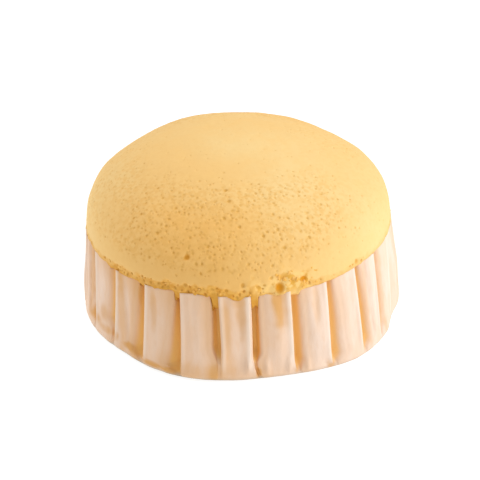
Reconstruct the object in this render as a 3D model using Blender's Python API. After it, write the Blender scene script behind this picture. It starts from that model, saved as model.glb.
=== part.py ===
"""A steamed cake standing in its pleated paper case, at its real size in metres.

The front of the cake faces -Y, and the flat floor of the case rests on z = 0. Both solids
are lofts of closed rings. A ring follows the pleated wall of the case: wide, nearly flat
panels with narrow folded grooves between them. The cake fills the case, so its sides repeat
the pleats, and above the rim it rises as a smooth dome.
"""

import math
import random

import bpy

MM = 0.001

# Driving dimensions of the case
CASE_RADIUS = 35.2 * MM
RIM_RADIUS = 33.3 * MM
RIM_HEIGHT = 21.1 * MM
PAPER = 0.5 * MM
FLOOR_CORNER = 1.3 * MM

# Where the foot of the case is pressed in, or out if negative: angle, spread and depth
FOOT_PRESSES = (
    (math.radians(12), math.radians(26), 2.2 * MM),
    (math.radians(-48), math.radians(13), 0.8 * MM),
    (math.radians(45), math.radians(12), -0.5 * MM),
    (math.radians(76), math.radians(8), 1.1 * MM),
)

# Driving dimensions of the pleats
PLEATS = 25
FIRST_FRONT_GROOVE = math.radians(-68.5)
FRONT_PANELS_DEG = (14.5, 14.5, 15, 15.5, 14.5, 15, 14.5, 14, 11.5)
HIDDEN_PANEL_WANDER = math.radians(1.5)
GROOVE_DEPTH = 3.4 * MM
GROOVE_MOUTH = 1.7 * MM
GROOVE_BOTTOM = 0.5 * MM
FOLD_HEIGHT = 7.5 * MM
GROOVE_DIP = 2.4 * MM
PANEL_COLUMNS = 2
SEED = 3

# Driving dimensions of the cake
CAKE_HEIGHT = 39.2 * MM
DOME_FULLNESS = 0.82
DOME_ANGLES_DEG = (5, 11, 18, 27, 37, 48, 61, 75)
CAKE_GAP = 0.3 * MM
RIM_CLEARANCE = 0.4 * MM
RIM_ROLL = 0.9 * MM

# How the cake has settled: its right side stands higher, and its top leans to the left
TILT = math.radians(1.9)
LEAN = 2.3 * MM
LEAN_CURVE = 1.5

CAKE_COLOUR = (0.76, 0.47, 0.16, 1.0)
PAPER_COLOUR = (0.83, 0.62, 0.47, 1.0)


def smooth_step(low, high, value):
    """0 below low, 1 above high, and a smooth rise between them."""
    part = min(1.0, max(0.0, (value - low) / (high - low)))
    return part * part * (3 - 2 * part)


def around(angle, radius, sideways=0.0):
    """The (x, y) at an angle from the front, moved sideways along the tangent."""
    x = radius * math.sin(angle) + sideways * math.cos(angle)
    y = -radius * math.cos(angle) + sideways * math.sin(angle)
    return x, y


def groove_angles():
    """The angle of every groove: the measured front ones, then even ones round the back."""
    angles = [FIRST_FRONT_GROOVE]
    for panel in FRONT_PANELS_DEG:
        angles.append(angles[-1] + math.radians(panel))
    hidden = PLEATS - len(angles)
    spacing = (angles[0] + 2 * math.pi - angles[-1]) / (hidden + 1)
    start = angles[-1]
    wander = random.Random(SEED)
    for number in range(1, hidden + 1):
        shift = wander.uniform(-HIDDEN_PANEL_WANDER, HIDDEN_PANEL_WANDER)
        angles.append(start + number * spacing + shift)
    return angles


def wall_radius(angle, height):
    """The outer radius of the case, which narrows from its uneven foot to its round rim."""
    foot = CASE_RADIUS
    for centre, spread, depth in FOOT_PRESSES:
        turn = math.remainder(angle - centre, 2 * math.pi) / spread
        foot -= depth * math.exp(-turn * turn)
    return foot + (RIM_RADIUS - foot) * min(1.0, height / RIM_HEIGHT)


def groove_depth(height):
    """The grooves start at nothing on the floor's corner and are full at FOLD_HEIGHT."""
    return GROOVE_DEPTH * smooth_step(0, FOLD_HEIGHT, height)


def groove_point(angle, side, fold, height, inset, depth):
    """A point of a groove: fold is 0 at its mouth and 1 at its bottom."""
    slope = math.atan2((GROOVE_MOUTH - GROOVE_BOTTOM) / 2, depth)
    mitre = math.tan(math.pi / 4 - slope / 2)
    half_width = (GROOVE_MOUTH + (GROOVE_BOTTOM - GROOVE_MOUTH) * fold) / 2
    radius = wall_radius(angle, height) - inset - depth * fold
    x, y = around(angle, radius, side * (half_width + mitre * inset))
    return x, y, height


def panel_point(start, end, part, height, inset):
    """A point on a panel, part of the way from its first edge to its second."""
    edge = GROOVE_MOUTH / 2 / CASE_RADIUS
    angle = start + edge + (end - start - 2 * edge) * part
    x, y = around(angle, wall_radius(angle, height) - inset)
    return x, y, height


def pleated_ring(height, inset, groove_height=None, filled=False):
    """One closed ring of the pleated wall, inset from the outer face of the paper.

    In the grooves the ring may lie at another height, and a filled ring has no grooves."""
    low = height if groove_height is None else groove_height
    depth = 0.0 if filled else groove_depth(low)
    angles = groove_angles()
    ring = []
    for number, angle in enumerate(angles):
        turns = (number + 1) // PLEATS * 2 * math.pi
        next_angle = angles[(number + 1) % PLEATS] + turns
        ring.append(groove_point(angle, -1, 0, height, inset, depth))
        ring.append(groove_point(angle, -1, 1, low, inset, depth))
        ring.append(groove_point(angle, 1, 1, low, inset, depth))
        ring.append(groove_point(angle, 1, 0, height, inset, depth))
        for column in range(1, PANEL_COLUMNS + 1):
            part = column / (PANEL_COLUMNS + 1)
            ring.append(panel_point(angle, next_angle, part, height, inset))
    return ring


def foot_rings(offset):
    """Rings round the corner from the floor to the wall, offset inwards from the outer face."""
    radius = FLOOR_CORNER - offset
    rings = []
    for turn in (0, math.pi / 4, math.pi / 2):
        height = FLOOR_CORNER - radius * math.cos(turn)
        inset = FLOOR_CORNER - radius * math.sin(turn)
        rings.append(pleated_ring(height, inset))
    return rings


def wall_rings(offset):
    """Rings up the wall to below the rim, where the grooves deepen and then run straight."""
    heights = (
        (FLOOR_CORNER + FOLD_HEIGHT) / 2,
        FOLD_HEIGHT,
        (FOLD_HEIGHT + RIM_HEIGHT) / 2,
    )
    return [pleated_ring(height, offset) for height in heights]


def dome_rings():
    """Rings of the dome, from just above the rim to near its top."""
    rim = pleated_ring(RIM_HEIGHT + RIM_ROLL, 0.0, filled=True)
    rings = []
    for degrees in DOME_ANGLES_DEG:
        turn = math.radians(degrees)
        rise = math.sin(turn) ** DOME_FULLNESS
        height = RIM_HEIGHT + (CAKE_HEIGHT - RIM_HEIGHT) * rise
        rings.append([(x * math.cos(turn), y * math.cos(turn), height) for x, y, _ in rim])
    return rings


def settled(point):
    """The place of a point once the cake has leant and its right side has risen."""
    x, y, z = point
    rise = math.tan(TILT) * x * min(1.0, z / RIM_HEIGHT)
    return x - LEAN * (z / CAKE_HEIGHT) ** LEAN_CURVE, y, z + rise


def split_quad(points, quad):
    """Two triangles that meet on the diagonal running deepest into the groove.

    The paper and the cake inside it are split alike, so the gap between them stays even."""
    a, b, c, d = quad
    reach = [math.hypot(points[corner][0], points[corner][1]) for corner in quad]
    if abs(reach[0] - reach[2]) > abs(reach[1] - reach[3]):
        return [(a, b, c), (a, c, d)]
    return [(a, b, d), (b, c, d)]


def loft(name, rings, first_height, last_height, material):
    """A closed body through the rings, with a point on the axis at each end."""
    columns = len(rings[0])
    points = [(0, 0, first_height)]
    for ring in rings:
        points.extend(ring)
    points.append((0, 0, last_height))
    last = len(points) - 1
    faces = []
    for column in range(columns):
        following = (column + 1) % columns
        faces.append((0, 1 + following, 1 + column))
        for row in range(len(rings) - 1):
            low = 1 + row * columns
            high = low + columns
            quad = (low + column, low + following, high + following, high + column)
            faces += split_quad(points, quad)
        top = last - columns
        faces.append((top + column, top + following, last))
    mesh = bpy.data.meshes.new(name)
    mesh.from_pydata([settled(point) for point in points], [], faces)
    mesh.materials.append(material)
    mesh.shade_smooth()
    mesh.set_sharp_from_angle(angle=math.radians(40))
    made = bpy.data.objects.new(name, mesh)
    bpy.context.scene.collection.objects.link(made)
    return made


def make_material(name, colour, roughness):
    material = bpy.data.materials.new(name)
    material.use_nodes = True
    shader = material.node_tree.nodes["Principled BSDF"]
    shader.inputs["Base Color"].default_value = colour
    shader.inputs["Roughness"].default_value = roughness
    shader.inputs["Metallic"].default_value = 0.0
    return material


def make_paper_case():
    """The case: a pleated wall and a flat floor, one sheet of paper thick all over."""
    dipped = RIM_HEIGHT - GROOVE_DIP
    outside = foot_rings(0.0) + wall_rings(0.0)
    outside.append(pleated_ring(RIM_HEIGHT, 0.0, dipped))
    inside = foot_rings(PAPER) + wall_rings(PAPER)
    inside.append(pleated_ring(RIM_HEIGHT, PAPER, dipped))
    rings = outside + inside[::-1]
    material = make_material("greaseproof_paper", PAPER_COLOUR, 0.7)
    return loft("paper_case", rings, 0.0, PAPER, material)


def make_cake():
    """The cake: pleated where the case holds it, bulging over each groove, and domed above."""
    offset = PAPER + CAKE_GAP
    brim = RIM_HEIGHT + RIM_CLEARANCE
    lobe = RIM_HEIGHT - GROOVE_DIP + RIM_CLEARANCE
    rings = foot_rings(offset) + wall_rings(offset)
    rings.append(pleated_ring(brim, offset, lobe))
    rings.append(pleated_ring(RIM_HEIGHT + RIM_ROLL, 0.0, filled=True))
    rings += dome_rings()
    material = make_material("steamed_sponge", CAKE_COLOUR, 0.8)
    return loft("cake", rings, offset, CAKE_HEIGHT, material)


def stand_together(name, pieces):
    """Parents the pieces to an empty that centres them, as one, over the origin."""
    holder = bpy.data.objects.new(name, None)
    bpy.context.scene.collection.objects.link(holder)
    corners = [vertex.co for piece in pieces for vertex in piece.data.vertices]
    for axis in (0, 1):
        values = [corner[axis] for corner in corners]
        holder.location[axis] = -(min(values) + max(values)) / 2
    for piece in pieces:
        piece.parent = holder


def main():
    for old in list(bpy.data.objects):
        bpy.data.objects.remove(old, do_unlink=True)
    bpy.context.scene.unit_settings.system = "METRIC"
    stand_together("steamed_cake", [make_paper_case(), make_cake()])


main()
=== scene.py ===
"""The finished look of a steamed cake in its pleated paper case.

Sizes are real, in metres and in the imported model's frame: +Z is up and the front faces -Y. An
angle is measured from the front towards +X. The paper and the side of the cake share one set
of columns, so that they fit each other in every pleat, and the dome is a fine mesh with its
pores modelled in it.
"""

import math
import random

import bmesh
import bpy
import numpy as np
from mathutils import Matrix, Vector
from mathutils.geometry import delaunay_2d_cdt


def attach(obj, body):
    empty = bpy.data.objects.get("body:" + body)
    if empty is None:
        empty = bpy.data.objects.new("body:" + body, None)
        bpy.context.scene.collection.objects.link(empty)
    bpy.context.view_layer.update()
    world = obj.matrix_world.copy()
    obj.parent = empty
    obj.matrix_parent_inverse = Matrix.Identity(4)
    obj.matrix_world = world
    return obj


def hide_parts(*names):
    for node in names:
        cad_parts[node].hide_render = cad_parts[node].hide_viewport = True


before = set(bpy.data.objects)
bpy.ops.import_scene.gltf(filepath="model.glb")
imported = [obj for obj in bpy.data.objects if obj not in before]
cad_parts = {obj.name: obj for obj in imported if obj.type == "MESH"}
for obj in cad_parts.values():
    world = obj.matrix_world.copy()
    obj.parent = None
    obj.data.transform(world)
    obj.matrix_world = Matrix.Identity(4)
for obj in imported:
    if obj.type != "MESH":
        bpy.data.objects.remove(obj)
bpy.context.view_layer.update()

MM = 0.001
TURN = 2 * math.pi

# The case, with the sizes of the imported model
CASE_RADIUS = 35.2 * MM
RIM_RADIUS = 33.3 * MM
RIM_HEIGHT = 21.1 * MM
FLOOR_CORNER = 1.3 * MM
PAPER = 0.16 * MM
BEHIND_PAPER = 0.36 * MM

# Where the foot of the case is pressed in, or out if negative: angle and spread in degrees,
# and depth in mm
FOOT_PRESSES = (
    (12, 26, 2.2),
    (-48, 13, 0.8),
    (45, 12, -0.5),
    (76, 8, 1.1),
)

# The pleats. Each groove has its edges' angles at the rim and at the foot, in degrees, the
# heights between which it opens, how far the cake hangs into it at the rim, all in mm, the
# part of its depth that goes on to the floor as a crease, how deep and amber it is, and how
# many degrees it bends aside towards the floor. The amber is grease with painted shade and
# painted warm bounced light in the groove.
PLEATS = 25
SEED = 3
HIDDEN_PANEL_WANDER = 1.5
CAD_FIRST_GROOVE = -68.5
CAD_LAST_FRONT_GROOVE = 60.5
GROOVE_FIELDS = "left right foot_left foot_right low high lobe crease amber bend".split()
FRONT_GROOVES = (
    (-72.6, -67, -72.2, -65.8, 2, 6.5, 0.6, 0.15, 0.95, 0),
    (-56.2, -51.1, -60, -53.6, 3, 7, 1.7, 0.28, 0.9, 0),
    (-38.6, -36, -45, -38, 0.5, 3.5, 1.6, 0.1, 0.95, 0),
    (-23.2, -21.4, -28.8, -21.9, 0.2, 3, 2.8, 0.1, 1, 0),
    (-9.6, -7.2, -11.6, -7, 4, 8.5, 4.2, 0.06, 1, 0),
    (4.5, 7.1, 3.6, 7.4, 4, 6.8, 3.8, 0.34, 1, 2.5),
    (19, 22.4, 19.6, 24.2, 1, 4.2, 2, 0.24, 0.85, 2),
    (33.5, 37, 33.8, 39.2, 0.5, 3.5, 0.6, 0.16, 0.78, 1),
    (47.2, 51.2, 48, 53.6, 0.5, 3.8, 0.6, 0.1, 0.95, 0),
    (59.6, 63.8, 59, 64.4, 1, 4.5, 0.5, 0.1, 0.95, 0),
)
GROOVE_DEPTH = 2.6 * MM
FAINTEST_PART = 0.05
GROOVE_BOTTOM = 0.9 * MM
GROOVE_CLOSING = 0.65
BOTTOM_SHIFT = 0.55
CREASE_HEIGHT = 1.5 * MM
BEND_HEIGHT = 5 * MM

# The hidden grooves: the ranges that their values are drawn from, in the same units, and how
# often their crisp edges swap sides in half a turn
HIDDEN_HALF_WIDTHS = (1.1, 1.7)
HIDDEN_FOOT_WIDENINGS = (1.0, 1.6)
HIDDEN_SLANT = 1.6
HIDDEN_LOWS = (0.4, 0.8, 1.5, 3.2)
HIDDEN_OPENINGS = (2.8, 4.6)
HIDDEN_LOBES = (0.6, 0.9, 1.7, 2.7)
HIDDEN_CREASES = (0.06, 0.28)
HIDDEN_AMBERS = (0.35, 0.8)
HIDDEN_BEND = 3
HIDDEN_LIP_SWAPS = 7

# The panels. One edge of each is a crisp fold and the other a soft one, and they swap sides
# at the middle of the front, where the sine of the angle is within LIP_SWAP. A crown is how far
# the middle of a panel stands out, in mm.
CRISP_LIP = 0.3 * MM
SOFT_LIP = 1.3 * MM
LIP_SWAP = 0.3
CRISP_RIDGE = 0.14 * MM
SOFT_DROP = 0.5 * MM
PANEL_CROWNS = (-0.3, 0.12)
CREASE_STRETCH = 0.14

# The mesh of the wall: how far across a groove's half its bottom ends and its mouth is reached,
# its columns and rows, and the parts of the height where the cake's side has a row
BOTTOM_PART = 0.3
MOUTH_PART = 0.75
ACROSS_GROOVE = 27
ALONG_PANEL = 14
WALL_ROWS = 42
INNER_ROWS = 9
CORNER_ROWS = 5
LOBE_ROWS = 8
SIDE_PARTS = (1, 0.86, 0.66, 0.46, 0.33, 0.24, 0.16, 0.08)

# Softer shapes of the wall: angle, height, spread round the wall, spread upwards, and how far
# the paper stands out or, if negative, in; angles in degrees and the rest in mm
WALL_SWELLS = (
    (-87, 8, 7, 5, 0.35), (-46, 11, 0.9, 9, -0.35),
    (-32.2, 15, 0.9, 5, -0.22), (0, 16, 1.5, 5, -0.3),
    (13.8, 10, 2.6, 9, 0.25), (28.8, 16, 1, 4, -0.25),
    (-19, 2, 5, 3, 0.3), (2.2, 4, 0.7, 1.6, 0.6),
    (9.2, 3, 0.8, 1.8, 0.5), (17.4, 3, 0.7, 2, 0.55),
    (24.6, 2.5, 0.7, 1.5, 0.45), (32, 2, 1.3, 0.7, -0.4),
    (85, 9.5, 7, 3, 0.4), (82, 19, 6, 3, -0.35),
)

# Where the paper is darker: stains where the cake has greased the paper from inside, and
# painted shade along the foot, on the soft edges of panels and on the walls of grooves. Each
# has its angle, height, half width in degrees, half height in mm, how much of its width it
# loses towards its bottom, and how strong it is
STAIN_AND_SHADE_PATCHES = (
    (15.2, 21, 3.9, 10.5, -0.1, 0.45), (14.2, 21, 2.8, 10.5, 0, 0.8),
    (14.6, 14.2, 1.5, 1.8, 0, 0.6), (-5, 11, 1.8, 9, 0, 0.35),
    (-5.6, 4.8, 4, 4, 0, 0.2), (-32.4, 15, 1.6, 6, 0.2, 0.3),
    (-48.8, 11, 2.6, 12, 0, 0.45), (0.8, 16, 2.2, 6, 0.2, 0.35),
    (28.9, 16.5, 1.6, 5, 0.2, 0.3), (34, 1, 1.8, 0.8, 0, 0.6),
    (52.5, 10, 1.8, 12, 0, 0.3), (64.6, 11, 2, 12, 0, 0.35),
    (-38.8, 11, 1.5, 11, 0, 0.35), (-53.4, 14, 1.6, 10, 0, 0.35),
    (-73.6, 13, 2, 12, 0, 0.5), (-61, 7, 3, 2.5, 0, 0.3),
    (-68.5, 4.4, 6, 2.2, 0, 0.8), (-9, 2.5, 5, 2.5, 0, 0.25),
    (-60, 3.4, 5, 1, 0, 0.4), (-53.4, 3.7, 2.6, 1.4, 0, 0.6),
    (-46.5, 2.9, 4.5, 1, 0, 0.5), (-40.5, 2.8, 3, 1.3, 0, 0.65),
    (-33.5, 1.7, 5.5, 0.7, 0, 0.6), (-26, 1.4, 5, 0.6, 0, 0.6),
    (6.2, 1.8, 1, 1.3, 0, 0.8), (20.6, 1.6, 1, 1, 0, 0.5),
    (0.6, 19.5, 2.8, 2.6, 0.3, 0.4), (-19, 2.5, 6, 2.5, 0, 0.2),
)

STAIN_AND_SHADE_FADE = (0.4, 1.25)

# Where the rim dips below its mean height: angle and spread in degrees and depth in mm
RIM_DIPS = (
    (-0.6, 2, 0.6),
    (0, 4.5, 0.15),
    (14, 3, 0.3),
)

# Where round the cake a quality is strongest: the centre and the spread of the place, in degrees
GREASED_AND_SHADED_FRONT = (-15, 40)
GREASED_AND_SHADED_BACK = (165, 60)
GREASY_RIM = (-50, 30)
SHADED_SOFT_EDGES_FRONT = (0, 60)
SHADED_SOFT_EDGES_LEFT = (-46, 14)
FAINTER_CREST_HIGHLIGHTS = (-15, 13)
SHADOWED_FOOT = (-35, 60)
RAGGED_FRONT = (-20, 50)
CRUMBY_FRONT = (-14, 34)
SMOOTHER_RIGHT = (58, 26)
GOLDEN_AND_SHADED_FRONT = (-14, 49)
GOLDEN_AND_SHADED_BACK = (170, 80)
GOLDEN_AND_SHADED_LEFT = (-30, 55)
BROWNED_AND_SHADED_FRONT = (-20, 36)
POROUS_FRONT = (-12, 48)
POROUS_BACK = (180, 45)
WIDER_PORES = (2, 38)

# Layers of noise, each with its strength, its size in mm and its seed. The strength of what
# shapes the mesh is in mm as well.
PANEL_CREASES = ((0.10, 1.5, 11), (0.06, 0.8, 12))
PANEL_DIMPLES = ((0.16, 5, 13), (0.05, 1.7, 14))
STAIN_AND_SHADE_EDGES = ((0.25, 1.5, 15),)
STAIN_AND_SHADE_CLOUDS = ((0.5, 7, 16),)
RIM_WAVES = ((0.22, 9, 21), (0.12, 2.5, 22))
LOBE_EDGES = ((0.25, 0.6, 23),)
FOOT_EDGES = ((0.28, 2.2, 24), (0.22, 0.8, 25))
CRUMB_PATCHES = ((0.5, 7, 31), (0.3, 2.4, 32))
TORN_EDGES = ((0.35, 1.6, 33),)
CRUMB_EDGES = ((0.35, 1.1, 34),)
GOLDEN_CLOUDS = ((0.2, 12, 35),)
BROWNED_AND_SHADED_EDGES = ((0.35, 1.7, 36),)
DOME_WAVES = ((0.22, 11, 41), (0.11, 4.5, 42))
DOME_GRAIN = ((0.035, 1.3, 43), (0.02, 0.7, 44))
CRUMB_LUMPS = ((0.22, 1.3, 45), (0.13, 0.6, 46))
TORN_LUMPS = ((0.5, 2.2, 47), (0.15, 1.0, 48))
PORE_PATCHES = ((0.6, 5, 51),)
LOBE_LUMPS = ((0.3, 0.9, 61), (0.16, 0.5, 62))

# The dome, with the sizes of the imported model
CAKE_HEIGHT = 39.2 * MM
DOME_FULLNESS = 0.82
TILT = math.radians(1.9)
LEAN = 2.3 * MM
LEAN_CURVE = 1.5
CAKE_OVER_EDGE = 0.12 * MM
CAKE_HANGS = 0.1 * MM
LOBE_SQUARENESS = 3.5
LOBE_OVER_PAPER = 0.12 * MM
LOBE_BEHIND_PAPER = 0.05 * MM
SIDE_BELOW_EDGE = 0.35 * MM

# Swells and hollows of the dome: angle in degrees, and climb, spread and height in mm
DOME_SWELLS = (
    (-128, 12.5, 8, -0.2),
    (-155, 15.5, 8, 0.27),
    (132, 12.5, 8, -0.28),
    (101, 6, 6, 0.23),
)

# The crumb: the spacing of the dome's mesh and the pores in it
SKIN_SPACING = 0.52 * MM
RIM_SPACING = 0.29 * MM
EDGE_CLEARANCE = 0.16 * MM
CRUMB_BAND = 2.4 * MM
CRUMB_SUNK = 0.27
TORN_SUNK = 0.2
LOBE_SUNK = 0.6
PORES = 1350
PORE_TRIES = 12
RIM_PITS = 170
PIT_TRIES = 20
PIT_CLIMBS = (0.45, 4.4)
PORE_GAP = 1.35
PORE_CLEARANCE = 1.62
FULL_PIT = 0.18 * MM
AMBER_PORES = (0.42 * MM, 0.72 * MM)
WIDE_PORE = 0.2 * MM
WIDE_PORE_RINGS = ((1.4, 8, 0.0), (1.0, 8, 0.3), (0.6, 7, 0.86), (0.0, 1, 1.0))
FINE_PORE_RINGS = ((1.3, 7, 0.0), (0.75, 6, 0.6), (0.0, 1, 1.0))
BIG_PORES = (
    (-18.8, 8.1, 0.6), (-21, 8.2, 0.4), (15.3, 1.3, 0.85),
    (24.4, 2.2, 0.7), (20.2, 2.6, 0.45), (12.5, 3.7, 0.4),
    (9.8, 2.1, 0.38), (7.3, 1.8, 0.42), (2, 2.7, 0.5),
    (-4, 1.5, 0.42), (-9, 1.6, 0.42), (-13.8, 1.4, 0.42),
    (-19, 2.1, 0.42), (-25.8, 0.8, 0.36), (-29.8, 1.2, 0.4),
    (-33.2, 0.9, 0.35), (-4.6, 25, 0.42), (-13, 5, 0.36),
    (48.5, 1, 0.5), (-46.5, 14.2, 0.36), (2.6, 15.2, 0.4),
)
TORN_ANGLE = math.radians(17)
TORN_HALF_ANGLE = math.radians(14.5)
TORN_CLIMB = 5.4 * MM

# Loose crumbs along the rim and in the torn patch
CRUMBS = 40
CRUMB_MIDDLE = math.radians(-14)
CRUMB_SPREAD = math.radians(52)
RIM_CRUMB_SIZES = (0.2, 0.4)
TORN_CRUMB_SIZES = (0.35, 0.6)

# Colours, as linear red, green and blue
SPONGE_PALE = (0.905, 0.66, 0.298)
SPONGE_GOLDEN = (0.885, 0.505, 0.145)
SPONGE_CLOUD = (0.92, 0.59, 0.215)
SPONGE_SPECK = (0.82, 0.46, 0.12)
CRUMB_BRIGHT = (0.86, 0.46, 0.085)
CRUMB_DEEP = (0.72, 0.32, 0.04)
# browned crumb, also used as painted shade at the foot and in the grooves
BROWNED_AND_SHADED = (0.68, 0.33, 0.045)
TORN_BRIGHT = (0.93, 0.61, 0.215)
TORN_DEEP = (0.80, 0.42, 0.07)
# painted shade in the pores
PORE_SHADE = (0.68, 0.37, 0.07)
PORE_AMBER = (0.71, 0.28, 0.01)
PAPER_PLAIN = (0.90, 0.72, 0.595)
PAPER_WARM = (0.89, 0.67, 0.515)
PAPER_FIBRE = (0.87, 0.63, 0.455)
# painted highlight on the crisp edges of the panels
PAPER_CREST_HIGHLIGHT = (0.95, 0.82, 0.69)
# grease stains, and painted shade laid on with them
PAPER_STAIN_AND_SHADE = (0.73, 0.395, 0.14)
# grease in the grooves, with painted shade and warm bounced light
PAPER_FOLD_GREASE_AND_SHADE = (0.87, 0.535, 0.178)
# painted shadow on the corner the case stands on
PAPER_FOOT_SHADOW = (0.42, 0.37, 0.29)

# Where the camera stood, and the point of the cake at the middle of its picture
CAMERA_PLACE = Vector((0.06, -424.20, 265.66)) * MM
CAMERA_AIM = Vector((-0.51, -2.45, 16.18)) * MM
CAMERA_LENS = 167.3
CAMERA_SENSOR = 36

# The floor glows a little, and each lamp has its angle from the front and its elevation in
# degrees, its power in watts and its colour
FLOOR_CORNERS = ((-3, -3, 0), (3, -3, 0), (3, 3, 0), (-3, 3, 0))
FLOOR_COLOUR = (0.36, 0.36, 0.36)
FLOOR_GLOW = 0.8
SKY_COLOUR = (1.0, 0.98, 0.96)
SKY_STRENGTH = 0.5
LAMP_DISTANCE = 0.6
LAMP_SIZE = 0.4
LAMPS = (
    ("key", 74, 35, 2.36, (0.95, 0.985, 1.04)),
    ("back", 240, 48, 1.37, (1.04, 0.98, 0.93)),
)


def smooth_step(low, high, value):
    """0 below low, 1 above high, and a smooth rise between them."""
    part = np.clip((value - low) / (high - low), 0, 1)
    return part * part * (3 - 2 * part)


def noise(points, size, seed):
    """Smooth random values, from -1 to 1, that change over about a size."""
    cells = 32
    lattice = np.random.default_rng(seed).uniform(-1, 1, (cells, cells, cells))
    place = np.asarray(points) / size
    corner = np.floor(place).astype(int)
    part = place - corner
    part = part * part * (3 - 2 * part)
    total = np.zeros(place.shape[:-1])
    for step in np.ndindex(2, 2, 2):
        weight = np.prod(np.where(step, part, 1 - part), axis=-1)
        index = (corner + step) % cells
        total += weight * lattice[index[..., 0], index[..., 1], index[..., 2]]
    return total


def layered(points, layers):
    """The sum of layers of noise at these points."""
    return sum(strength * noise(points, size * MM, seed) for strength, size, seed in layers)


def turned_from(angle, centre):
    """How far an angle lies from a centre in degrees, in degrees from -180 to 180."""
    return np.mod(np.degrees(angle) - centre + 180, 360) - 180


def near(angle, place):
    """1 at the centre of a place round the cake, fading out over its spread."""
    centre, spread = place
    return np.exp(-(turned_from(angle, centre) / spread) ** 2)


def around(angle, radius, height):
    """The points at an angle from the front, a radius from the axis and a height."""
    angle, radius, height = np.broadcast_arrays(angle, radius, height)
    return np.stack([radius * np.sin(angle), -radius * np.cos(angle), height], axis=-1)


def settled(points):
    """The points once the cake has leant and its right side has risen, in the frame."""
    top = max(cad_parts["cake"].data.vertices, key=lambda vertex: vertex.co.z).co
    x, y, z = np.moveaxis(points, -1, 0)
    rise = math.tan(TILT) * x * np.clip(z / RIM_HEIGHT, 0, 1)
    lean = LEAN * (np.clip(z, 0, None) / CAKE_HEIGHT) ** LEAN_CURVE
    return np.stack([x - lean + top.x + LEAN, y + top.y, z + rise], axis=-1)


# ---- The pleats ----


def all_grooves():
    """The front grooves as measured, then the hidden ones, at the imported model's angles."""
    grooves = list(FRONT_GROOVES)
    hidden = PLEATS - len(grooves)
    spacing = (CAD_FIRST_GROOVE + 360 - CAD_LAST_FRONT_GROOVE) / (hidden + 1)
    wander = random.Random(SEED)
    looks = random.Random(SEED + 1)
    for number in range(1, hidden + 1):
        shift = wander.uniform(-HIDDEN_PANEL_WANDER, HIDDEN_PANEL_WANDER)
        middle = CAD_LAST_FRONT_GROOVE + number * spacing + shift
        half = looks.uniform(*HIDDEN_HALF_WIDTHS)
        foot_half = half * looks.uniform(*HIDDEN_FOOT_WIDENINGS)
        slant = looks.uniform(-HIDDEN_SLANT, HIDDEN_SLANT)
        low = looks.choice(HIDDEN_LOWS)
        fainter = 0.9 * math.sin(math.radians(middle)) ** 6
        grooves.append((
            middle + slant - half,
            middle + slant + half,
            middle - slant - foot_half,
            middle - slant + foot_half,
            low,
            low + looks.uniform(*HIDDEN_OPENINGS),
            looks.choice(HIDDEN_LOBES),
            looks.uniform(*HIDDEN_CREASES),
            looks.uniform(*HIDDEN_AMBERS) * (1 - fainter),
            looks.uniform(-HIDDEN_BEND, HIDDEN_BEND),
        ))
    return grooves


def groove_table():
    """Each value of the grooves as an array, angles in radians and lengths in metres."""
    table = {}
    units = {"low": MM, "high": MM, "lobe": MM, "crease": 1, "amber": 1}
    for field, values in zip(GROOVE_FIELDS, zip(*GROOVES)):
        table[field] = np.array(values) * units.get(field, math.pi / 180)
    middle = (table["left"] + table["right"]) / 2
    hidden = np.arange(PLEATS) >= len(FRONT_GROOVES)
    turned = np.where(hidden, np.sin(HIDDEN_LIP_SWAPS * middle), np.sin(middle))
    for lip, way in (("lip_left", -turned), ("lip_right", turned)):
        softness = smooth_step(-LIP_SWAP, LIP_SWAP, way)
        table[lip] = CRISP_LIP + (SOFT_LIP - CRISP_LIP) * softness
    table["crisper"] = (table["lip_left"] - table["lip_right"]) / (SOFT_LIP - CRISP_LIP)
    return table


def all_columns():
    """Each column's groove, its place across its groove or panel, and if it is on a panel."""
    across = np.linspace(-1, 1, ACROSS_GROOVE)
    along = np.arange(1, ALONG_PANEL + 1) / (ALONG_PANEL + 1)
    number = np.repeat(np.arange(PLEATS), ACROSS_GROOVE + ALONG_PANEL)
    place = np.tile(np.concatenate([across, along]), PLEATS)
    panel = np.tile(np.arange(ACROSS_GROOVE + ALONG_PANEL) >= ACROSS_GROOVE, PLEATS)
    return number, place, panel


GROOVES = all_grooves()
TABLE = groove_table()
NUMBER, PLACE, PANEL = all_columns()
FOLLOWING = (NUMBER + 1) % PLEATS


def wall_radius(angle, height):
    """The outer radius of the case, which narrows from its uneven foot to its round rim."""
    foot = CASE_RADIUS
    for centre, spread, depth in FOOT_PRESSES:
        foot = foot - depth * MM * near(angle, (centre, spread))
    return foot + (RIM_RADIUS - foot) * np.clip(height / RIM_HEIGHT, None, 1)


def groove_shape(number, height, inset):
    """A groove's middle angle, half widths of mouth and bottom, and how far it is open.

    Its crisp edge runs straight down while the other one closes in on it."""
    up = np.clip(height / RIM_HEIGHT, 0, 1)
    left = TABLE["foot_left"][number] + (TABLE["left"] - TABLE["foot_left"])[number] * up
    right = TABLE["foot_right"][number] + (TABLE["right"] - TABLE["foot_right"])[number] * up
    opened = smooth_step(TABLE["low"][number], TABLE["high"][number], height)
    crease = TABLE["crease"][number]
    aside = TABLE["bend"][number] * np.clip(1 - height / BEND_HEIGHT, 0, 1) ** 2
    closed = GROOVE_CLOSING * (1 - opened) * (right - left) / 2
    middle = (left + right) / 2 + aside + TABLE["crisper"][number] * closed
    mouth = RIM_RADIUS * ((right - left) / 2 - closed) + inset
    bottom = np.minimum(GROOVE_BOTTOM / 2 + inset, mouth * 0.8)
    creased = crease * smooth_step(0, CREASE_HEIGHT, height)
    return middle, mouth, bottom, creased + (1 - crease) * opened


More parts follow.
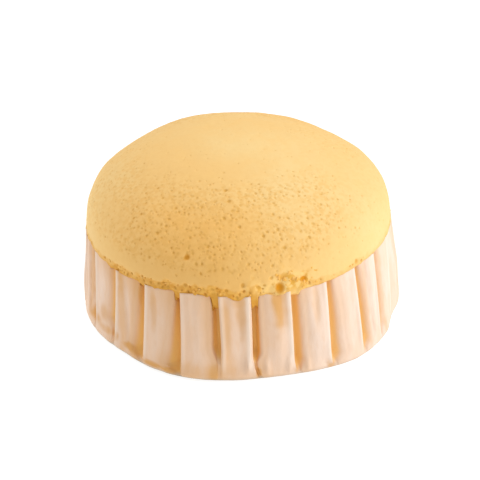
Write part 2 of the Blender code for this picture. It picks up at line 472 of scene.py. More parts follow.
def wall(height, inset):
    """Every column's angle, radius and depth in its groove (0 to 1) at these heights.

    The bottom of a groove lies near its crisp edge, and its other wall rises gently."""
    height = np.broadcast_to(height, np.broadcast_shapes(np.shape(height), PLACE.shape))
    middle, mouth, bottom, opening = groove_shape(NUMBER, height, inset)
    depth = FAINTEST_PART + (1 - FAINTEST_PART) * TABLE["amber"][NUMBER]
    depth = GROOVE_DEPTH * depth * opening
    next_middle, next_mouth, _, _ = groove_shape(FOLLOWING, height, inset)
    lip = np.where(PLACE < 0, TABLE["lip_left"][NUMBER], TABLE["lip_right"][NUMBER])
    side = np.abs(PLACE)
    soft = (lip - CRISP_LIP) / (SOFT_LIP - CRISP_LIP)
    fold = 1 - smooth_step(0.2 - 0.1 * soft, 0.74 + 0.22 * soft, side)
    up_wall = np.clip((side - BOTTOM_PART) / (MOUTH_PART - BOTTOM_PART), 0, 1)
    sideways = bottom * np.clip(side / BOTTOM_PART, 0, 1) + (mouth - bottom) * up_wall
    sideways = sideways + lip * np.clip((side - MOUTH_PART) / (1 - MOUTH_PART), 0, 1)
    shift = BOTTOM_SHIFT * TABLE["crisper"][NUMBER] * (mouth - bottom) * (1 - up_wall)
    in_groove = middle + (np.sign(PLACE) * sideways + shift) / RIM_RADIUS
    start = middle + (mouth + TABLE["lip_right"][NUMBER]) / RIM_RADIUS
    end = next_middle - (next_mouth + TABLE["lip_left"][FOLLOWING]) / RIM_RADIUS
    end = np.where(FOLLOWING == 0, end + TURN, end)
    angle = np.where(PANEL, start + (end - start) * PLACE, in_groove)
    fold = np.where(PANEL, 0.0, fold)
    radius = wall_radius(angle, height) - inset - depth * fold
    return angle, radius + panel_relief(angle, height), fold * opening


def panel_edges(crisp, on_panel, on_lip):
    """A value beside each crisp edge of a panel or, if not crisp, each soft edge, else 0.

    The first function gives it by the distance from the edge, as a part of the panel's width,
    and the second by the distance from the groove's middle, as a part of its half width."""
    middle = (CRISP_LIP + SOFT_LIP) / 2
    after = np.where(PANEL, on_panel(PLACE), on_lip(PLACE))
    before = np.where(PANEL, on_panel(1 - PLACE), on_lip(-PLACE))
    starting = np.where(PANEL, FOLLOWING, NUMBER)
    wanted_after = (TABLE["lip_right"][NUMBER] < middle) == crisp
    wanted_before = (TABLE["lip_left"][starting] < middle) == crisp
    return after * wanted_after + before * wanted_before


# 1 on the crisp folded edge of a panel, fading out over its first tenth, else 0
CRISP_EDGES = panel_edges(
    True,
    lambda gap: 1 - smooth_step(0.02, 0.15, gap),
    lambda side: smooth_step(0.82, 0.95, side),
)

# 1 on the rounded edge of a panel, fading out towards its middle, else 0
SOFT_EDGES = panel_edges(
    False,
    lambda gap: (1 - np.clip(gap / 0.45, 0, 1)) ** 2,
    lambda side: smooth_step(0, 0.6, side),
)


def panel_relief(angle, height):
    """How far the paper stands out: flat or hollow panels, soft creases and ridged edges."""
    crown = np.random.default_rng(SEED).uniform(*PANEL_CROWNS, PLEATS)[NUMBER]
    along = np.where(PANEL, PLACE, 0)
    inside = smooth_step(0, 0.25, along) * smooth_step(0, 0.25, 1 - along)
    up = smooth_step(0.5 * MM, 6 * MM, height)
    crease = layered(around(angle, RIM_RADIUS, height * CREASE_STRETCH), PANEL_CREASES)
    dimple = layered(around(angle, RIM_RADIUS, height), PANEL_DIMPLES)
    relief = 4 * along * (1 - along) * crown * up + (crease * up + dimple) * inside
    lifted = smooth_step(0.2 * MM, 1.5 * MM, height)
    for centre, middle, across, upwards, out in WALL_SWELLS:
        rise = (height / MM - middle) / upwards
        relief = relief + out * lifted * near(angle, (centre, across)) * np.exp(-rise * rise)
    return relief * MM + up * (CRISP_RIDGE * CRISP_EDGES - SOFT_DROP * SOFT_EDGES)


def stain_and_shade_strength(angle, height):
    """1 where the paper is soaked and lets the cake's colour through, 0 where it is dry.

    Painted shade is mixed in as well: on the front and back, low towards the foot, and in
    patches of the table.
    """
    places = around(angle, RIM_RADIUS, height)
    ragged = layered(places, STAIN_AND_SHADE_EDGES)
    total = np.zeros(np.broadcast_shapes(np.shape(angle), np.shape(height)))
    for centre, middle, across, upwards, taper, strength in STAIN_AND_SHADE_PATCHES:
        rise = (height / MM - middle) / upwards
        width = across * (1 + taper * np.clip(rise, -1, 0))
        reach = np.hypot(turned_from(angle, centre) / width, rise) + ragged
        total = np.maximum(total, strength * (1 - smooth_step(*STAIN_AND_SHADE_FADE, reach)))
    cloudy = 0.5 + layered(places, STAIN_AND_SHADE_CLOUDS)
    front = near(angle, GREASED_AND_SHADED_FRONT)
    sides = np.maximum(front, near(angle, GREASED_AND_SHADED_BACK))
    # partly grease, partly painted shade on the front and back, the sides turned from the lamps
    everywhere = sides * (0.25 + 0.18 * cloudy) + 0.04 * cloudy
    # painted shade, darker towards the foot
    foot = (0.05 + 0.1 * front) * (1 - smooth_step(0, 7 * MM, height))
    rim = 0.3 * near(angle, GREASY_RIM) * (1 - smooth_step(0, 8 * MM, RIM_LINE - height))
    return np.clip(total + everywhere + foot + rim, 0, 1)


def crest_highlight_strength(angle, height):
    """Painted highlight: 1 on a panel's pale crisp edge, fading out at the floor and less on a
    few of them.
    """
    fainter = 0.7 * near(angle, FAINTER_CREST_HIGHLIGHTS)
    return CRISP_EDGES * (1 - fainter) * smooth_step(0.5 * MM, 5 * MM, height)


def foot_shadow_strength(angle, height):
    """Painted shadow, grey on the corner the paper stands on, darkest at the front and left."""
    front = 0.25 + 0.75 * near(angle, SHADOWED_FOOT)
    return front * (1 - smooth_step(0.25 * MM, 1.1 * MM, height))


def rim_wave(angle):
    """How far the rim runs above or below its mean height."""
    wave = layered(around(angle, RIM_RADIUS, 0.0), RIM_WAVES)
    for centre, spread, depth in RIM_DIPS:
        wave = wave - depth * np.exp(-(turned_from(angle, centre) / spread) ** 4)
    return wave * MM


def rim_columns():
    """The angle of each column at the rim, and the height of the paper's edge there."""
    angle, _, fold = wall(RIM_HEIGHT, 0.0)
    ragged = layered(around(angle, RIM_RADIUS, 0.0), LOBE_EDGES)
    lobe = TABLE["lobe"][NUMBER] + ragged * MM
    return angle, RIM_HEIGHT + rim_wave(angle) - lobe * smooth_step(0.05, 0.14, fold)


RIM_ANGLE, RIM_LINE = rim_columns()
RIM_BULGE = np.clip(panel_relief(RIM_ANGLE, RIM_HEIGHT), 0, None)


# ---- Meshes ----


def grid_faces(rows, columns, first, downwards=True):
    """Quads between closed rings of points that follow each other, facing outwards."""
    row, column = np.meshgrid(np.arange(rows - 1), np.arange(columns), indexing="ij")
    here = first + row * columns + column
    beside = first + row * columns + (column + 1) % columns
    corners = [here, here + columns, beside + columns, beside]
    if not downwards:
        corners.reverse()
    return np.stack(corners, axis=-1).reshape(-1, 4).tolist()


def fan_faces(ring, centre, downwards=True):
    """Triangles from a ring of points to a point in the middle, facing down or up."""
    following = np.roll(ring, -1)
    corners = [np.full(len(ring), centre), following, ring]
    if not downwards:
        corners.reverse()
    return np.stack(corners, axis=-1).tolist()


def add_object(name, data):
    """A new object in the scene, of this mesh, camera or lamp."""
    made = bpy.data.objects.new(name, data)
    bpy.context.scene.collection.objects.link(made)
    return made


def make_piece(name, points, faces, material, values=None):
    """An object of these points, with the named values on them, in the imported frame."""
    mesh = bpy.data.meshes.new(name)
    mesh.from_pydata(settled(points).tolist(), [], faces)
    for key, numbers in (values or {}).items():
        layer = mesh.attributes.new(key, "FLOAT", "POINT")
        layer.data.foreach_set("value", np.asarray(numbers, np.float32).ravel())
    mesh.materials.append(material)
    mesh.shade_smooth()
    return add_object(name, mesh)


# ---- The paper case ----


def corner_rows(offset):
    """Rows round the corner from the floor to the wall, as heights and insets."""
    turn = np.linspace(0, math.pi / 2, CORNER_ROWS)[:, None]
    radius = FLOOR_CORNER - offset
    return FLOOR_CORNER - radius * np.cos(turn), FLOOR_CORNER - radius * np.sin(turn)


def case_face(offset, rows):
    """One face of the paper from the floor up to the rim: its points, and each one's values."""
    low, inset = corner_rows(offset)
    part = np.linspace(0, 1, rows + 1)[1:, None]
    high = FLOOR_CORNER + (RIM_LINE - FLOOR_CORNER) * part
    height = np.concatenate([np.broadcast_to(low, (len(low), len(RIM_LINE))), high])
    depth = np.concatenate([inset, np.full((rows, 1), offset)])
    angle, radius, fold = wall(height, depth)
    # painted shade on the rounded edges of the panels, most at the front and left
    soft_edge_shade = 0.25 * near(angle, SHADED_SOFT_EDGES_FRONT) + 0.2 * near(angle, SHADED_SOFT_EDGES_LEFT)
    return around(angle, radius, height), np.array([
        # amber in the grooves: partly grease, partly painted shade and bounced light
        smooth_step(0.0, 0.65, fold) * TABLE["amber"][NUMBER],
        crest_highlight_strength(angle, height),
        stain_and_shade_strength(angle, height) + soft_edge_shade * SOFT_EDGES,
        foot_shadow_strength(angle, height),
    ])


def make_case():
    outer, outer_values = case_face(0.0, WALL_ROWS)
    inner, inner_values = case_face(PAPER, INNER_ROWS)
    points = np.concatenate([outer, inner[::-1]])
    rows, columns, _ = points.shape
    centre = [(0, 0, 0), (0, 0, PAPER)]
    faces = grid_faces(rows, columns, 0, downwards=False)
    faces += fan_faces(np.arange(columns), rows * columns)
    faces += fan_faces(np.arange(columns) + (rows - 1) * columns, rows * columns + 1, False)
    everything = np.concatenate([points.reshape(-1, 3), centre])
    values = np.concatenate([outer_values, inner_values[:, ::-1]], axis=1).reshape(4, -1)
    values = np.pad(values, ((0, 0), (0, 2)))
    named = dict(zip(("fold", "crest_highlight", "stain_and_shade", "foot_shadow"), values))
    return make_piece("pleated_paper", everything, faces, paper_material(), named)


# ---- The cake ----


def dome_profile():
    """The dome's radius, rise (0 to 1) and normal against the way up from its foot."""
    turn = np.linspace(0, 1, 3000) ** 2 * math.pi / 2
    radius = RIM_RADIUS * np.cos(turn)
    rise = np.sin(turn) ** DOME_FULLNESS
    height = (CAKE_HEIGHT - RIM_HEIGHT) * rise
    step = np.hypot(np.diff(radius), np.diff(height))
    climb = np.concatenate([[0], np.cumsum(step)])
    outwards = np.gradient(height) / np.hypot(np.gradient(height), np.gradient(radius))
    return climb, radius, rise, outwards


CLIMB, DOME_RADIUS, DOME_RISE, DOME_OUTWARDS = dome_profile()
TOP = CLIMB[-1]


def ragged_foot(angle):
    """How far the crumb at the dome's foot hangs below the rim, most at the front."""
    ragged = layered(around(angle, RIM_RADIUS, 0.0), FOOT_EDGES)
    front = 0.35 + 0.65 * near(angle, RAGGED_FRONT)
    return CAKE_HANGS + ragged * front * MM


def dome_points(angle, climb, lift=0.0):
    """Points of the dome, at a climb from its foot, lifted along its normal."""
    radius = np.interp(climb, CLIMB, DOME_RADIUS)
    rise = np.interp(climb, CLIMB, DOME_RISE)
    outwards = np.interp(climb, CLIMB, DOME_OUTWARDS)
    upwards = np.sqrt(np.clip(1 - outwards * outwards, 0, 1))
    wave = rim_wave(angle) * (1 - smooth_step(0, 5 * MM, climb))
    foot = 1 - smooth_step(0, 1.5 * MM, climb)
    wave = wave - ragged_foot(angle) * foot
    over = (CAKE_OVER_EDGE + np.interp(angle, RIM_ANGLE, RIM_BULGE, period=TURN)) * foot
    height = RIM_HEIGHT + (CAKE_HEIGHT - RIM_HEIGHT) * rise + wave + lift * upwards
    return around(angle, radius + over + lift * outwards, height)


def crumb_strength(angle, climb):
    """1 where the rough crumb shows above the rim, fading to 0 on the smooth skin."""
    patchy = 0.55 + layered(around(angle, RIM_RADIUS, 0.0), CRUMB_PATCHES)
    front = near(angle, CRUMBY_FRONT)
    ragged = 1 + layered(around(angle, RIM_RADIUS, climb), CRUMB_EDGES)
    width = CRUMB_BAND * ragged * (0.35 + 0.35 * np.clip(patchy, 0, 1.2) + 0.5 * front)
    strength = np.clip(0.8 * patchy + 0.6 * front, 0.3, 1)
    strength = strength * (1 - 0.6 * near(angle, SMOOTHER_RIGHT))
    return strength * (1 - smooth_step(0.7 * width, 1.1 * width, climb))


def torn_strength(angle, climb):
    """1 in the torn patch at the rim, 0 outside it."""
    ragged = 1 + layered(around(angle, RIM_RADIUS, climb), TORN_EDGES)
    across = (angle - TORN_ANGLE) / (TORN_HALF_ANGLE * ragged)
    up = climb / (TORN_CLIMB * ragged)
    return 1 - smooth_step(0.45, 1.15, np.hypot(across, up))


def golden_and_shade_strength(angle, climb):
    """1 where the skin is deepest in colour, low on its front, and 0 where it is palest.

    This is partly real browning and partly painted light: painted shade on the front and left,
    turned from the key lamp, against the pale top and right that it lights.
    """
    high = smooth_step(15 * MM, 24 * MM, climb)
    low = (0.85 + 0.1 * smooth_step(3 * MM, 11 * MM, climb)) * (1 - high)
    sides = np.maximum(near(angle, GOLDEN_AND_SHADED_FRONT), 0.7 * near(angle, GOLDEN_AND_SHADED_BACK))
    higher = (0.27 + 0.19 * near(angle, GOLDEN_AND_SHADED_LEFT)) * high
    higher = higher * (1 - smooth_step(30 * MM, 41 * MM, climb))
    cloudy = layered(dome_points(angle, climb), GOLDEN_CLOUDS)
    return np.clip(low * sides + higher + cloudy, 0, 1)


def browned_and_shaded_strength(angle, climb):
    """How browned the cake's foot is against the paper: a ragged line, darkest at the front,
    where it is partly painted shade.
    """
    width = (0.5 + layered(around(angle, RIM_RADIUS, 0.0), BROWNED_AND_SHADED_EDGES)) * MM
    strength = 0.15 + 0.7 * near(angle, BROWNED_AND_SHADED_FRONT)
    return strength * (1 - smooth_step(0.3 * width, 1.5 * width, climb))


def swells(places):
    """The dome's broad swells and hollows at these points, in mm."""
    lift = layered(places, DOME_WAVES)
    for degrees, climb, spread, height in DOME_SWELLS:
        middle = dome_points(math.radians(degrees), climb * MM)
        gap = np.linalg.norm(places - middle, axis=-1) / (spread * MM)
        lift = lift + height * np.exp(-gap * gap)
    return lift


def skin_lift(angle, climb):
    """The relief of the dome without its pores: swells, fine grain and crumbs at the rim."""
    flat = dome_points(angle, climb)
    lumps = layered(flat, CRUMB_LUMPS) - CRUMB_SUNK
    torn_lumps = layered(flat, TORN_LUMPS) - TORN_SUNK
    crumb, torn = crumb_strength(angle, climb), torn_strength(angle, climb)
    rough = lumps * crumb * (1 - torn) + torn_lumps * torn
    broad = swells(flat) * smooth_step(0, 3 * MM, climb)
    return (broad + layered(flat, DOME_GRAIN) + rough) * MM


def pore_density(angle, climb):
    """How likely a pore is here: many low on the front, fewer behind and few near the top."""
    band = smooth_step(3.4 * MM, 7 * MM, climb) * (1 - smooth_step(19 * MM, 30 * MM, climb))
    facing = 0.15 + 0.85 * near(angle, POROUS_FRONT)
    facing = np.maximum(facing, 0.5 * near(angle, POROUS_BACK))
    patchy = 1 + layered(around(angle, climb, 0.0), PORE_PATCHES)
    return np.clip((0.06 + band * facing) * patchy, 0, 1)


def rim_pits(draw, count):
    """Chosen places for the deep pits of the crumb, as angle, climb, radius and sink."""
    angle = draw.uniform(-math.pi, math.pi, count)
    climb = draw.uniform(*PIT_CLIMBS, count) * MM
    radius = (0.16 + 0.24 * draw.random(count) ** 1.5) * MM
    wanted = crumb_strength(angle, climb) * (1 - 0.7 * torn_strength(angle, climb))
    chosen = draw.random(count) < wanted
    sink = radius * draw.uniform(0.7, 1.1, count)
    return np.stack([angle, climb, radius, sink], axis=-1)[chosen]


def skin_pores(draw, count):
    """Chosen places for the pores of the smooth skin, more and wider ones at the front."""
    angle = draw.uniform(-math.pi, math.pi, count)
    climb = TOP - TOP * np.sqrt(draw.random(count))
    density = pore_density(angle, climb)
    front = near(angle, WIDER_PORES)
    radius = (0.14 + (0.1 + 0.14 * density + 0.1 * front) * draw.random(count) ** 1.3) * MM
    chosen = draw.random(count) < density * (0.5 + 0.5 * front)
    chosen &= climb > 2.6 * MM + radius
    chosen &= torn_strength(angle, climb) < 0.1
    sink = radius * draw.uniform(0.25, 0.5, count)
    return np.stack([angle, climb, radius, sink], axis=-1)[chosen]


def first_clear(pores, limit):
    """The first pores, in turn, that don't touch one before them."""
    places = dome_points(pores[:, 0], pores[:, 1])
    kept = []
    for number, pore in enumerate(pores):
        gaps = np.linalg.norm(places[kept] - places[number], axis=1)
        if (gaps > PORE_GAP * (pores[kept, 2] + pore[2])).all():
            kept.append(number)
        if len(kept) == limit:
            break
    return pores[kept]


def scatter_pores():
    """All the pores, as angle, climb, radius and sink, none touching another."""
    draw = np.random.default_rng(SEED)
    angle, climb, radius = np.array(BIG_PORES).T
    big = np.stack([np.radians(angle), climb * MM, radius * MM, 0.55 * radius * MM], axis=-1)
    pits = np.concatenate([big, rim_pits(draw, PIT_TRIES * RIM_PITS)])
    pits = first_clear(pits, RIM_PITS)
    pores = np.concatenate([pits, skin_pores(draw, PORE_TRIES * PORES)])
    return first_clear(pores, RIM_PITS + PORES)


def disc(angle, climb):
    """The flat place of a point of the dome, on a disc in mm seen from above."""
    way = (TOP - climb) / MM
    return np.stack([way * np.sin(angle), -way * np.cos(angle)], axis=-1)


def from_disc(flat):
    """The angle and climb of a place on the flat disc."""
    return np.arctan2(flat[:, 0], -flat[:, 1]), TOP - np.hypot(*flat.T) * MM


def hexagonal(spacing, draw):
    """Places over the whole disc, a spacing apart and a little uneven."""
    across = np.arange(-TOP, TOP, spacing) / MM
    rows = np.arange(-TOP, TOP, spacing * math.sqrt(0.75)) / MM
    x, y = np.meshgrid(across, rows)
    x = x + (np.arange(len(rows)) % 2)[:, None] * spacing / MM / 2
    flat = np.stack([x.ravel(), y.ravel()], axis=-1)
    return flat + draw.uniform(-0.24, 0.24, flat.shape) * spacing / MM


def pore_places(pores):
    """The flat places of the rings of each pore, how deep each lies, and how amber it is."""
    draw = np.random.default_rng(SEED)
    flats, sinks, ambers = [], [], []
    for angle, climb, radius, sink in pores:
        middle = disc(angle, climb)
        way = TOP - climb
        outwards = np.array([math.sin(angle), -math.cos(angle)])
        sideways = np.array([math.cos(angle), math.sin(angle)])
        squeeze = way / np.interp(climb, CLIMB, DOME_RADIUS)
        longer, skew = draw.uniform(0.85, 1.2), draw.uniform(0, math.pi)
        wobble = draw.uniform(0.88, 1.12, 8)
        for factor, count, part in WIDE_PORE_RINGS if radius > WIDE_PORE else FINE_PORE_RINGS:
            turn = TURN * (np.arange(count) + 0.5 * (count % 2)) / count
            reach = radius / MM * factor * wobble[:count]
            long, short = reach * np.cos(turn) * longer, reach * np.sin(turn) / longer
            u = long * math.cos(skew) - short * math.sin(skew)
            v = long * math.sin(skew) + short * math.cos(skew)
            flats.append(middle + u[:, None] * outwards + (v * squeeze)[:, None] * sideways)
            sinks.append(np.full(count, sink * part))
            amber = math.sqrt(part) * smooth_step(*AMBER_PORES, radius)
            ambers.append(np.full(count, amber))
    return np.concatenate(flats), np.concatenate(sinks), np.concatenate(ambers)


def clear_of(flat, pores):
    """Which places stay outside every pore's outer ring."""
    clear = np.ones(len(flat), bool)
    for angle, climb, radius, _ in pores:
        gap = flat - disc(angle, climb)
        clear &= (gap * gap).sum(axis=1) > (PORE_CLEARANCE * radius / MM) ** 2
    return clear


def inside_edge(flat):
    """Which places lie clear of the dome's edge."""
    return from_disc(flat)[1] > EDGE_CLEARANCE


def detailed(flat):
    """Which places lie low enough for the crumb at the rim, or in the torn patch."""
    angle, climb = from_disc(flat)
    return (climb <= CRUMB_BAND * 1.5) | (torn_strength(angle, climb) > 0.02)


def dome_places(pores):
    """All flat places of the dome's mesh inside its edge, and how sunk and amber each is."""
    draw = np.random.default_rng(SEED)
    coarse, fine = hexagonal(SKIN_SPACING, draw), hexagonal(RIM_SPACING, draw)
    skin = np.concatenate([coarse[~detailed(coarse)], fine[detailed(fine)]])
    skin = skin[inside_edge(skin)]
    skin = skin[clear_of(skin, pores)]
    sunk, sinks, ambers = pore_places(pores)
    inside = inside_edge(sunk)
    level = np.zeros(len(skin))
    values = [np.concatenate([level, value[inside]]) for value in (sinks, ambers)]
    return np.concatenate([skin, sunk[inside]]), values


def make_dome():
    """The dome's points, triangles and values; its first points are its edge, by column."""
    pores = scatter_pores()
    flat, values = dome_places(pores)
    edge = disc(RIM_ANGLE, 0.0)
    flat = np.concatenate([edge, flat])
    sink, amber = (np.concatenate([np.zeros(len(edge)), value]) for value in values)
    ring = list(range(len(edge)))
    placed, _, faces, origins, _, _ = delaunay_2d_cdt(
        [Vector(place) for place in flat.tolist()], [], [ring], 1, 1e-5
    )
    if len(placed) != len(flat):
        raise ValueError("two places of the dome coincide")
    order = np.array([origin[0] for origin in origins])
    faces = [[int(order[corner]) for corner in face] for face in faces]
    angle, climb = from_disc(flat)
    climb = np.maximum(climb, 0)
    lift = skin_lift(angle, climb) - sink
    torn = torn_strength(angle, climb)
    values = {
        "pit": sink / FULL_PIT,
        "amber": amber,
        "crumb": crumb_strength(angle, climb),
        "torn": torn,
        "blotchy": smooth_step(-0.8 * MM, 1.7 * MM, climb),
        "golden_and_shade": golden_and_shade_strength(angle, climb),
        "browned_and_shaded": browned_and_shaded_strength(angle, climb) * (1 - 0.8 * torn),
        "porous": pore_density(angle, climb),
    }
    return dome_points(angle, climb, lift), faces, values


def lobe_rows(edge):
    """Rows from the dome's edge round into each groove and over the paper's edge.

    In a groove they go down first and then in, and under a hanging edge in and then up."""
    _, radius, _ = wall(RIM_LINE, 0.0)
    edge_radius = np.hypot(edge[:, 0], edge[:, 1])
    edge_angle = np.arctan2(edge[:, 0], -edge[:, 1])
    over = RIM_LINE + LOBE_OVER_PAPER
    hangs = edge[:, 2] < over
    rows = []
    for turn in np.linspace(0, math.pi / 2, LOBE_ROWS + 1)[1:]:
        later = 1 - math.cos(turn) ** (2 / LOBE_SQUARENESS)
        sooner = math.sin(turn) ** (2 / LOBE_SQUARENESS)
        inwards = np.where(hangs, sooner, later)
        down = np.where(hangs, later, sooner)
        row_radius = edge_radius + (radius - LOBE_BEHIND_PAPER - edge_radius) * inwards
        row_height = edge[:, 2] + (over - edge[:, 2]) * down
        row = around(edge_angle, row_radius, row_height)
        hanging = np.clip((edge[:, 2] - over) / (1.5 * MM), 0, 1) * math.sin(2 * turn)
        rough = layered(row, LOBE_LUMPS) - LOBE_SUNK
        rows.append(around(edge_angle, row_radius + rough * MM * hanging, row_height))
    return rows


def side_rows():
    """Rows down the inside of the paper from below its edge to the floor."""
    tall = RIM_LINE - SIDE_BELOW_EDGE - FLOOR_CORNER
    levels = [(FLOOR_CORNER + tall * part, BEHIND_PAPER) for part in SIDE_PARTS]
    levels += [*zip(*corner_rows(BEHIND_PAPER))][::-2]
    rows = []
    for height, depth in levels:
        angle, radius, _ = wall(height, depth)
        rows.append(around(angle, radius, height))
    return rows


def make_cake():
    dome, faces, values = make_dome()
    columns = len(RIM_ANGLE)
    rows = np.array(lobe_rows(dome[:columns]) + side_rows())
    first = len(dome)
    ring = np.arange(columns)
    beside = np.roll(ring, -1)
    faces += np.stack([ring, first + ring, first + beside, beside], axis=-1).tolist()
    faces += grid_faces(len(rows), columns, first)
    centre = first + rows.size // 3
    faces += fan_faces(centre - columns + ring, centre)
    points = np.concatenate([dome, rows.reshape(-1, 3), [(0, 0, BEHIND_PAPER)]])
    # painted shade where the cake hangs down into a groove, over the browned line at the foot
    hanging = smooth_step(0.5 * MM, 1.8 * MM, RIM_HEIGHT - RIM_LINE)
    torn = torn_strength(RIM_ANGLE, 0.0) ** 3
    brown_and_shade = np.maximum(0.85 * hanging, browned_and_shaded_strength(RIM_ANGLE, 0.0)) * (1 - torn)
    full, none = np.ones(columns), np.zeros(columns)
    below = {"crumb": full, "golden_and_shade": full, "porous": full, "torn": torn, "browned_and_shaded": brown_and_shade}
    for name in values:
        lower = np.tile(below.get(name, none), len(rows))
        values[name] = np.concatenate([values[name], lower, [0.0]])
    return make_piece("steamed_sponge", points, faces, sponge_material(), values)


def crumb_shape(draw, size):
    """A small lumpy ball of this size, as points and faces."""
    ball = bmesh.new()
    bmesh.ops.create_icosphere(ball, subdivisions=2, radius=1.0)
    points = np.array([vertex.co[:] for vertex in ball.verts])
    faces = [[vertex.index for vertex in face.verts] for face in ball.faces]
    ball.free()
    bumps = noise(points + draw.uniform(0, 30, 3), 0.8, 71)
    stretch = draw.uniform(0.7, 1.2, 3)
    return points * (1 + 0.35 * bumps)[:, None] * stretch * size, faces


def make_crumbs():
    """Loose crumbs that cling to the torn patch and along the rim."""
    draw = np.random.default_rng(SEED + 2)
    points, faces = [], []
    for number in range(CRUMBS):
        if number % 2:
            angle = TORN_ANGLE + TORN_HALF_ANGLE * draw.uniform(-0.2, 0.9)
            climb = TORN_CLIMB * draw.uniform(0.05, 0.85)
            size = draw.uniform(*TORN_CRUMB_SIZES) * MM
        else:
            angle = CRUMB_MIDDLE + CRUMB_SPREAD * draw.uniform(-1, 1)
            climb = CRUMB_BAND * draw.uniform(0.05, 0.8)
            size = draw.uniform(*RIM_CRUMB_SIZES) * MM
        shape, corners = crumb_shape(draw, size)
        place = dome_points(angle, climb, skin_lift(angle, climb) - 0.6 * size)
        faces += [[corner + len(shape) * number for corner in face] for face in corners]
        points.append(shape + place)
    return make_piece("rim_crumbs", np.concatenate(points), faces, crumb_material())


# ---- Materials ----


def new_material(name, roughness, specular):
    material = bpy.data.materials.new(name)
    material.use_nodes = True
    shader = material.node_tree.nodes["Principled BSDF"]
    shader.inputs["Roughness"].default_value = roughness
    shader.inputs["Specular IOR Level"].default_value = specular
    return material, material.node_tree, shader


def stored(tree, name):
    """The named value of the mesh's points."""
    node = tree.nodes.new("ShaderNodeAttribute")
    node.attribute_name = name
    return node.outputs["Fac"]


def grain(tree, size, detail=2.0, upright=1.0):
    """Noise with features of this size in mm, longer upwards if upright is under 1."""
    place = tree.nodes.new("ShaderNodeTexCoord")
    scaled = tree.nodes.new("ShaderNodeMapping")
    scaled.inputs["Scale"].default_value = (1, 1, upright)
    node = tree.nodes.new("ShaderNodeTexNoise")
    node.inputs["Scale"].default_value = 1 / (size * MM)
    node.inputs["Detail"].default_value = detail
    tree.links.new(place.outputs["Object"], scaled.inputs["Vector"])
    tree.links.new(scaled.outputs["Vector"], node.inputs["Vector"])
    return node.outputs["Fac"]


def remap(tree, value, low, high, new_low=0.0, new_high=1.0):
    """The value with the range from low to high spread smoothly over the new one."""
    node = tree.nodes.new("ShaderNodeMapRange")
    node.interpolation_type = "SMOOTHSTEP"
    for key, number in zip(("From Min", "From Max", "To Min", "To Max"),
                           (low, high, new_low, new_high)):
        node.inputs[key].default_value = number
    tree.links.new(value, node.inputs["Value"])
    return node.outputs["Result"]


def mixed(tree, factor, first, second):
    """The first colour where the factor is 0, the second where it is 1."""
    node = tree.nodes.new("ShaderNodeMix")
    node.data_type = "RGBA"
    tree.links.new(factor, node.inputs["Factor"])
    sockets = [socket for socket in node.inputs if socket.type == "RGBA"]
    for socket, colour in zip(sockets, (first, second)):
        if isinstance(colour, tuple):
            socket.default_value = (*colour, 1.0)
        else:
            tree.links.new(colour, socket)
    return [socket for socket in node.outputs if socket.type == "RGBA"][0]


def times(tree, first, second):
    node = tree.nodes.new("ShaderNodeMath")
    node.operation = "MULTIPLY"
    for socket, value in zip(node.inputs, (first, second)):
        if isinstance(value, float):
            socket.default_value = value
        else:
            tree.links.new(value, socket)
    return node.outputs["Value"]


def finish_surface(tree, shader, colour, layers, relief):
    """Lays (factor, colour) layers over a colour, and relief of (value, distance in mm)."""
    for factor, over in layers:
        colour = mixed(tree, factor, colour, over)
    tree.links.new(colour, shader.inputs["Base Color"])
    normal = None
    for value, distance in relief:
        node = tree.nodes.new("ShaderNodeBump")
        node.inputs["Distance"].default_value = distance * MM
        tree.links.new(value, node.inputs["Height"])
        if normal:
            tree.links.new(normal, node.inputs["Normal"])
        normal = node.outputs["Normal"]
    tree.links.new(normal, shader.inputs["Normal"])


def specks(tree, size, low, high):
    """1 in the middle of scattered round spots, one to each cell of this size in mm."""
    place = tree.nodes.new("ShaderNodeTexCoord")
    node = tree.nodes.new("ShaderNodeTexVoronoi")
    node.inputs["Scale"].default_value = 1 / (size * MM)
    tree.links.new(place.outputs["Object"], node.inputs["Vector"])
    return remap(tree, node.outputs["Distance"], low, high, 1.0, 0.0)


def sponge_material():
    material, tree, shader = new_material("steamed_sponge", 0.8, 0.15)
    porous = remap(tree, stored(tree, "porous"), 0.0, 0.8, 0.1, 1.0)
    speck = remap(tree, grain(tree, 1.0, 3.0), 0.42, 0.62, 0.0, 0.5)
    fine_pores = times(tree, specks(tree, 1.25, 0.08, 0.38), porous)
    crumb = stored(tree, "crumb")
    ragged = remap(tree, grain(tree, 1.4, 3.0), 0.42, 0.62)
    blotch = remap(tree, grain(tree, 1.6, 2.0), 0.46, 0.58)
    blotch = times(tree, blotch, stored(tree, "blotchy"))
    layers = [
        # real browning with painted shade on the front and left
        (stored(tree, "golden_and_shade"), SPONGE_GOLDEN),
        (remap(tree, grain(tree, 3.5, 3.0), 0.4, 0.7, 0.0, 0.3), SPONGE_CLOUD),
        (times(tree, speck, porous), SPONGE_SPECK),
        (times(tree, crumb, 0.8), CRUMB_BRIGHT),
        (times(tree, times(tree, crumb, ragged), 0.75), CRUMB_DEEP),
        (stored(tree, "torn"), mixed(tree, blotch, TORN_BRIGHT, TORN_DEEP)),
        # browned line at the foot, partly painted shade, and painted shade on the hanging lobes
        (stored(tree, "browned_and_shaded"), BROWNED_AND_SHADED),
        # painted shade in the fine pores, and in the modelled pits by how deep they are
        (times(tree, fine_pores, 0.38), PORE_SHADE),
        (remap(tree, stored(tree, "pit"), 0.0, 1.0, 0.0, 0.65), PORE_SHADE),
        (stored(tree, "amber"), PORE_AMBER),
    ]
    finish_surface(tree, shader, SPONGE_PALE, layers, [
        (grain(tree, 0.35, 3.0), 0.025),
        (grain(tree, 0.9, 2.0), 0.045),
        (times(tree, fine_pores, -1.0), 0.06),
        (times(tree, crumb, grain(tree, 0.4, 2.0)), 0.06),
    ])
    return material


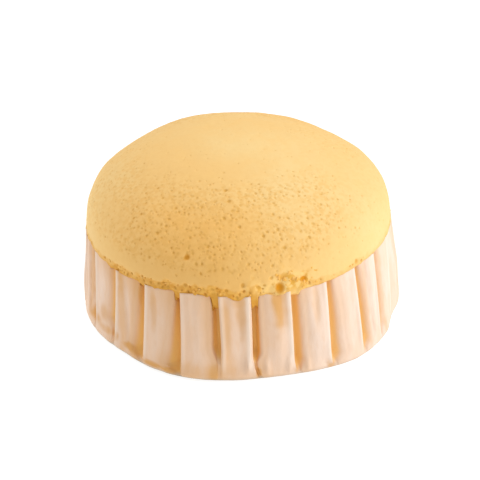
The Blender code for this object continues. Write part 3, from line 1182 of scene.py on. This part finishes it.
def crumb_material():
    material, tree, shader = new_material("loose_crumbs", 0.8, 0.15)
    ragged = remap(tree, grain(tree, 0.6, 2.0), 0.4, 0.66)
    relief = [(grain(tree, 0.3, 3.0), 0.02)]
    finish_surface(tree, shader, SPONGE_GOLDEN, [(ragged, CRUMB_BRIGHT)], relief)
    return material


def paper_material():
    material, tree, shader = new_material("greaseproof_paper", 0.72, 0.12)
    layers = [
        (remap(tree, grain(tree, 4, 4.0, 0.3), 0.4, 0.64), PAPER_WARM),
        (remap(tree, grain(tree, 0.8, 4.0, 0.3), 0.48, 0.72, 0.0, 0.45), PAPER_FIBRE),
        # grease stains together with painted shade on the front, back, foot, soft edges and
        # grooves
        (stored(tree, "stain_and_shade"), PAPER_STAIN_AND_SHADE),
        # painted highlight along each panel's crisp edge
        (times(tree, stored(tree, "crest_highlight"), 0.6), PAPER_CREST_HIGHLIGHT),
        # grease with painted shade and warm bounced light in the grooves
        (remap(tree, stored(tree, "fold"), 0.02, 0.95), PAPER_FOLD_GREASE_AND_SHADE),
        # painted contact shadow on the corner the case stands on
        (stored(tree, "foot_shadow"), PAPER_FOOT_SHADOW),
    ]
    finish_surface(tree, shader, PAPER_PLAIN, layers, [
        (grain(tree, 0.5, 4.0), 0.03),
        (grain(tree, 2.2, 3.0, 0.4), 0.12),
    ])
    return material


# ---- The picture ----


def add_camera():
    data = bpy.data.cameras.new("camera")
    data.lens = CAMERA_LENS
    data.sensor_width = CAMERA_SENSOR
    camera = add_object("camera", data)
    camera.location = CAMERA_PLACE
    camera.rotation_euler = (CAMERA_AIM - CAMERA_PLACE).to_track_quat("-Z", "Y").to_euler()
    bpy.context.scene.camera = camera


def add_floor():
    mesh = bpy.data.meshes.new("floor")
    mesh.from_pydata(FLOOR_CORNERS, [], [(0, 1, 2, 3)])
    material, _, shader = new_material("white_floor", 0.9, 0.0)
    shader.inputs["Base Color"].default_value = (*FLOOR_COLOUR, 1.0)
    shader.inputs["Emission Color"].default_value = (1.0, 1.0, 1.0, 1.0)
    shader.inputs["Emission Strength"].default_value = FLOOR_GLOW
    mesh.materials.append(material)
    add_object("floor", mesh)


def add_lamp(name, azimuth, elevation, power, colour):
    """A square soft lamp, round the cake from the front and above the floor."""
    data = bpy.data.lights.new(name, "AREA")
    data.size = LAMP_SIZE
    data.energy = power
    data.color = colour
    lamp = add_object(name, data)
    turn, up = math.radians(azimuth), math.radians(elevation)
    away = Vector((math.sin(turn) * math.cos(up), -math.cos(turn) * math.cos(up), math.sin(up)))
    lamp.location = away * LAMP_DISTANCE
    lamp.rotation_euler = (-away).to_track_quat("-Z", "Y").to_euler()


def add_light():
    world = bpy.data.worlds.new("studio")
    bpy.context.scene.world = world
    world.use_nodes = True
    sky = world.node_tree.nodes["Background"]
    sky.inputs["Color"].default_value = (*SKY_COLOUR, 1.0)
    sky.inputs["Strength"].default_value = SKY_STRENGTH
    for lamp in LAMPS:
        add_lamp(*lamp)
    bpy.context.scene.view_settings.view_transform = "Standard"


def main():
    case, cake, crumbs = make_case(), make_cake(), make_crumbs()
    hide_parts("paper_case")
    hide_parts("cake")
    for piece, slot in ((case, "case_paper"), (cake, "sponge"), (crumbs, "sponge")):
        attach(piece, "root")
    add_floor()
    add_light()
    add_camera()


main()
